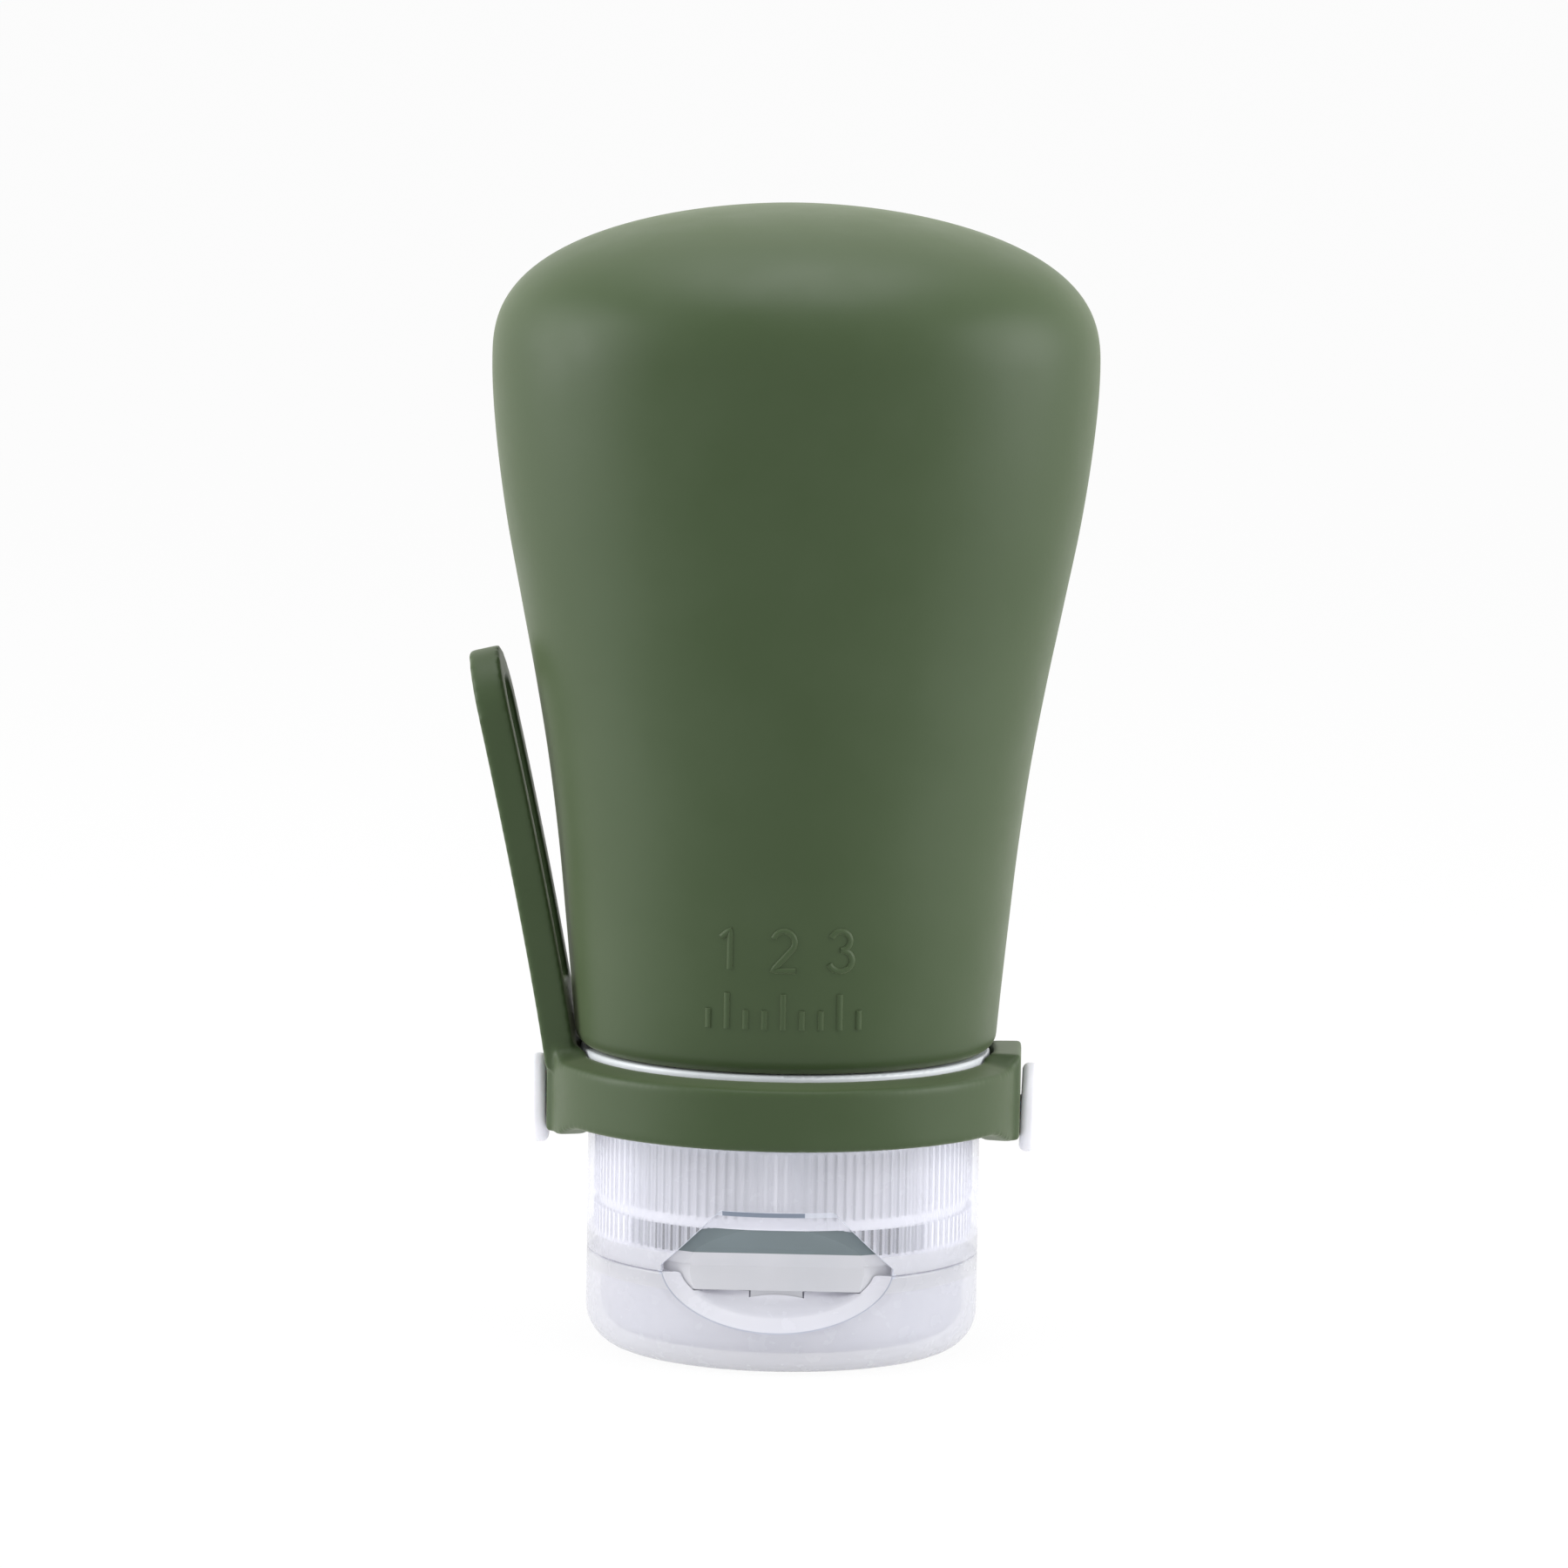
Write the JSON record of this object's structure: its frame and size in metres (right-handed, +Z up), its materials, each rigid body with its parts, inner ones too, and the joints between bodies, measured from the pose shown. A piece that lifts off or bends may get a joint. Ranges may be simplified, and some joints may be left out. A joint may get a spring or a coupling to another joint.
{
  "type": "travel silicone bottle",
  "caption": "Soft squeezable oval travel bottle that stands on a ribbed flip cap, with a screw neck, a slit valve and a silicone strap ring with a hanging loop.",
  "frame": {"origin": "centre of the flat foot of the flip lid, on which the bottle stands upside down", "axes": "+Z up along the bottle from the lid's foot to the crown, -Y towards the front with the thumb scoop, +Y towards the lid's hinge, -X towards the hanging loop"},
  "size_m": [0.0525, 0.0408, 0.0964],
  "materials": {
    "green_silicone": "satin soft-touch silicone",
    "white_plastic": "satin moulded polypropylene",
    "frosted_plastic": "frosted translucent polypropylene",
    "dark_silicone": "matte grey-green silicone",
    "clear_silicone": "translucent soft silicone",
    "pin_steel": "plain drawn wire"
  },
  "bodies": {
    "bottle": {"bottle_body": "green_silicone", "threaded_neck": "white_plastic", "clamp_collar": "white_plastic", "strap_ring": "green_silicone", "strap_stud_left": "white_plastic", "strap_stud_right": "white_plastic"},
    "strap": {"strap_loop": "green_silicone"},
    "gasket": {"neck_gasket": "clear_silicone"},
    "cap": {"cap_core": "white_plastic", "cap_sleeve": "frosted_plastic", "core_band": "dark_silicone", "slit_valve": "clear_silicone", "valve_retainer": "white_plastic", "lid_hinge_pin": "pin_steel"},
    "lid": {"flip_lid": "frosted_plastic"}
  },
  "joints": [
    {"name": "strap_flex", "type": "hinge", "parent": "bottle", "child": "strap", "pos_m": [-0.01905, 0, 0.0264], "axis": [0, -1, 0], "range_deg": [-4, 90], "stiffness_Nm_per_rad": 0.004},
    {"name": "cap_lift", "type": "slide", "parent": "bottle", "child": "gasket", "axis": [0, 0, -1], "range_m": [0, 0.00481]},
    {"name": "cap_turn", "type": "hinge", "parent": "gasket", "child": "cap", "pos_m": [0, 0, 0], "axis": [0, 0, -1], "range_deg": [0, 540]},
    {"name": "lid_hinge", "type": "hinge", "parent": "cap", "child": "lid", "pos_m": [0, 0.0176, 0.0082], "axis": [1, 0, 0], "range_deg": [0, 135]}
  ],
  "couplings": [
    {"joint": "cap_lift", "follows": "cap_turn", "m_per_rad": 0.0005093}
  ]
}
